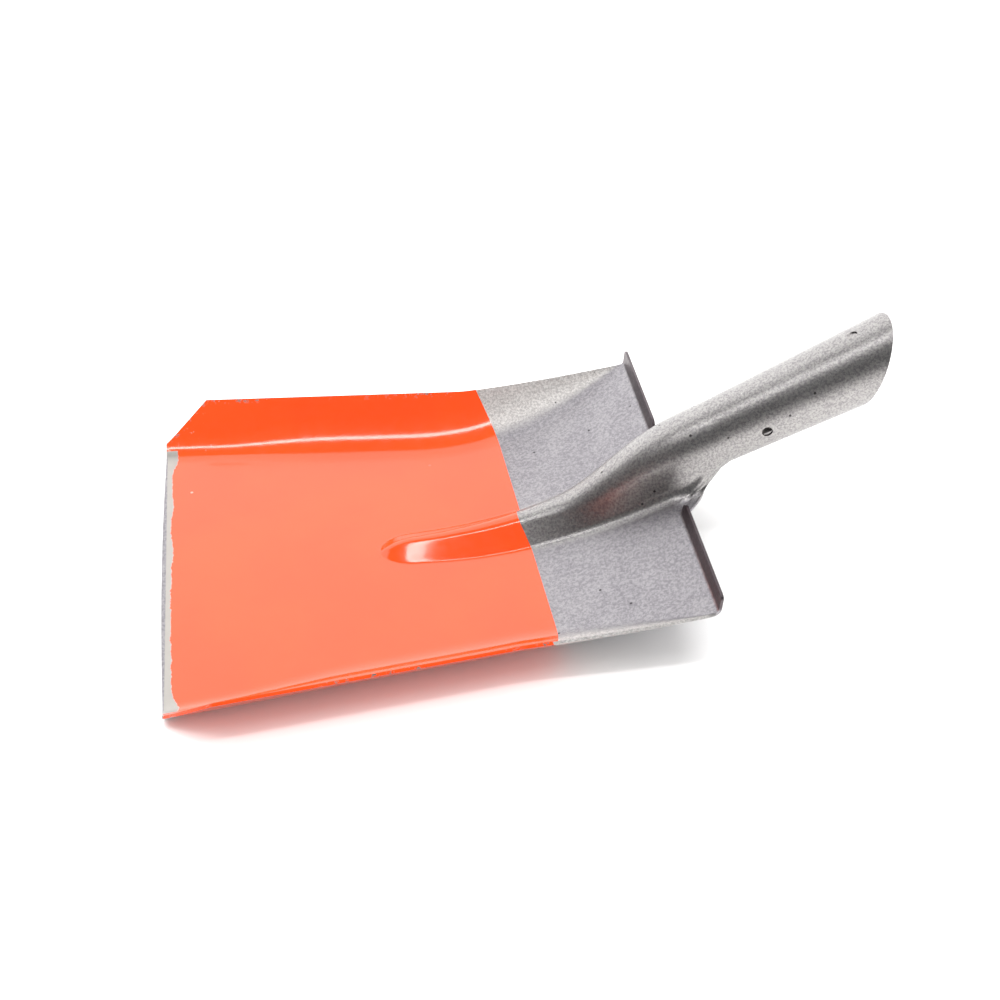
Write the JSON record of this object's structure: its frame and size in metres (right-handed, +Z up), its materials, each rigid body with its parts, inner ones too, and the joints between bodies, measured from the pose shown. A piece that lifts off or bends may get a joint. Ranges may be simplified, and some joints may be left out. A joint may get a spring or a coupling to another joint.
{
  "type": "grain scoop shovel head",
  "caption": "Pressed steel square-mouth scoop shovel head: dished blade, turned-up sides, rear step, hollow ridge and tapered open-seam handle socket; orange paint on the front.",
  "frame": {"origin": "on the ground under the middle of the head, where the flat of the blade rests", "axes": "+X runs from the mouth to the handle socket, +Y to the left side wall, +Z up"},
  "size_m": [0.406, 0.2694, 0.1294],
  "materials": {
    "bare_steel": "bare pressed sheet under clear lacquer, satin, fine mottled grain",
    "orange_paint": "glossy dipped enamel, thin, slightly wavy"
  },
  "bodies": {
    "root": {"floor_pan": "bare_steel", "side_wall_left": "bare_steel", "side_wall_right": "bare_steel", "frog_ridge": "bare_steel", "step_left": "bare_steel", "step_right": "bare_steel", "knuckle_left": "bare_steel", "knuckle_right": "bare_steel", "socket_top": "bare_steel", "socket_wing_left": "bare_steel", "socket_wing_right": "bare_steel", "paint_top": "orange_paint", "paint_under": "orange_paint"}
  },
  "joints": []
}
